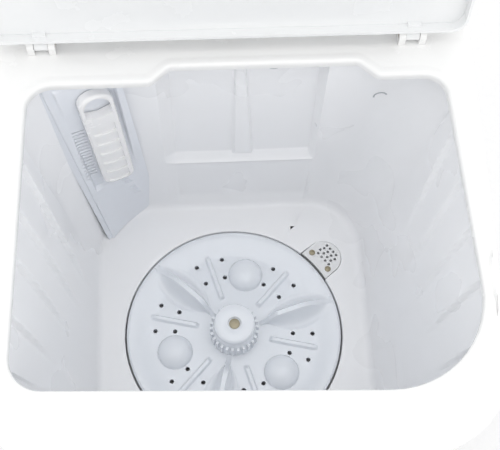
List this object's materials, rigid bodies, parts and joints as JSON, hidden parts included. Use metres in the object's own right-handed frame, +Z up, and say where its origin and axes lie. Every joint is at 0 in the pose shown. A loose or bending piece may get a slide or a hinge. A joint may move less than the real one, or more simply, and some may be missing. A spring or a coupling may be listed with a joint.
{
  "type": "top load washing machine",
  "caption": "Top load pulsator washer: deep moulded tub with a finned pulsator, a drain cover and a corner lint filter, in a sheet cabinet with a hinged lid and rear controls.",
  "frame": {"origin": "on the floor under the middle of the machine's overall box, with the lid open", "axes": "+Z up, the front faces -Y, +X to the right as seen from the front"},
  "size_m": [0.5276, 0.534, 1.1202],
  "materials": {
    "deck_plastic": "glossy white",
    "tub_plastic": "satin white",
    "pulsator_plastic": "glossy bluish white",
    "column_plastic": "satin white",
    "cassette_plastic": "glossy white",
    "net_fabric": "fine nylon net",
    "body_paint": "semi-gloss white paint",
    "rear_paint": "satin light grey paint",
    "base_plastic": "textured grey",
    "grip_plastic": "textured light grey",
    "console_plastic": "glossy white",
    "fascia_plastic": "satin blue-grey",
    "knob_plastic": "glossy white",
    "lid_plastic": "glossy white",
    "lid_pane": "frosted translucent",
    "foot_rubber": "matt",
    "belt_rubber": "matt fabric-backed",
    "hose_plastic": "soft grey",
    "valve_plastic": "natural white",
    "bright_steel": "plain",
    "shaft_steel": "ground",
    "cast_alloy": "as cast",
    "bronze": "sintered",
    "motor_paint": "satin dark grey",
    "zinc_plate": "zinc plated",
    "capacitor_case": "white case",
    "switch_case": "cream"
  },
  "bodies": {
    "machine": {"base_tray": "base_plastic", "feet": "foot_rubber", "cabinet": "body_paint", "hand_grip_left": "grip_plastic", "hand_grip_right": "grip_plastic", "rear_cover": "rear_paint", "rear_cover_screws": "bright_steel", "base_screws": "bright_steel", "cable_gland": "foot_rubber", "wash_tub": "tub_plastic", "top_deck": "deck_plastic", "filter_column": "column_plastic", "drain_cover": "column_plastic", "drain_cover_screws": "bright_steel", "bearing_housing": "cast_alloy", "housing_bolts": "bright_steel", "shaft_bushes": "bronze", "shaft_seal": "foot_rubber", "drive_belt": "belt_rubber", "motor_stator": "motor_paint", "motor_bracket": "zinc_plate", "motor_mounts": "foot_rubber", "motor_bolts": "bright_steel", "run_capacitor": "capacitor_case", "capacitor_clip": "zinc_plate", "drain_duct": "hose_plastic", "drain_valve_body": "valve_plastic", "drain_valve_cap": "valve_plastic", "valve_spring": "bright_steel", "drain_hose": "hose_plastic", "drain_outlet": "valve_plastic", "overflow_pipe": "hose_plastic", "water_inlet": "valve_plastic", "inlet_duct": "hose_plastic", "control_console": "console_plastic", "console_panel": "fascia_plastic", "console_back": "console_plastic", "console_screws": "bright_steel", "wash_timer": "switch_case", "wash_selector_switch": "switch_case", "drain_selector": "switch_case", "hinge_brackets": "deck_plastic", "hinge_pins": "bright_steel"},
    "pulsator": {"pulsator": "pulsator_plastic", "pulsator_screw": "bright_steel", "pulsator_shaft": "shaft_steel", "driven_pulley": "cast_alloy", "pulley_nut": "bright_steel"},
    "motor_rotor": {"motor_shaft": "shaft_steel", "motor_pulley": "cast_alloy"},
    "lid": {"lid_frame": "lid_plastic", "lid_window": "lid_pane"},
    "cassette": {"lint_cassette": "cassette_plastic", "lint_net": "net_fabric"},
    "timer_knob": {"timer_knob": "knob_plastic"},
    "selector_knob": {"selector_knob": "knob_plastic"},
    "drain_knob": {"drain_knob": "knob_plastic", "lift_crank": "valve_plastic"},
    "drain_valve": {"drain_valve_plunger": "foot_rubber", "valve_pull_rod": "bright_steel"}
  },
  "joints": [
    {"name": "pulsator_spin", "type": "hinge", "parent": "machine", "child": "pulsator", "pos_m": [0, -0.052, 0.38], "axis": [0, 0, 1], "continuous": true},
    {"name": "motor_spin", "type": "hinge", "parent": "machine", "child": "motor_rotor", "pos_m": [-0.098, 0.056, 0.235], "axis": [0, 0, 1], "continuous": true},
    {"name": "lid_hinge", "type": "hinge", "parent": "machine", "child": "lid", "pos_m": [0, 0.166, 0.725], "axis": [1, 0, 0], "range_deg": [0, 98]},
    {"name": "cassette_tilt", "type": "hinge", "parent": "machine", "child": "cassette", "pos_m": [-0.13873, 0.11643, 0.50976], "axis": [0.9387, 0.3448, 0], "range_deg": [0, 24]},
    {"name": "timer_turn", "type": "hinge", "parent": "machine", "child": "timer_knob", "pos_m": [-0.13, 0.21471, 0.79945], "axis": [0, 0.9272, -0.3746], "range_deg": [0, 300]},
    {"name": "selector_turn", "type": "hinge", "parent": "machine", "child": "selector_knob", "pos_m": [0, 0.21471, 0.79945], "axis": [0, 0.9272, -0.3746], "range_deg": [-45, 45]},
    {"name": "drain_turn", "type": "hinge", "parent": "machine", "child": "drain_knob", "pos_m": [0.15208, 0.21471, 0.79945], "axis": [0, 0.9272, -0.3746], "range_deg": [0, 90]},
    {"name": "drain_valve_lift", "type": "slide", "parent": "machine", "child": "drain_valve", "axis": [0, 0, 1], "range_m": [0, 0.012], "deforming": ["valve_spring"]}
  ],
  "couplings": [
    {"joint": "motor_spin", "follows": "pulsator_spin", "ratio": 3.2267},
    {"joint": "drain_turn", "follows": "drain_valve_lift", "rad_per_m": 130.89}
  ]
}
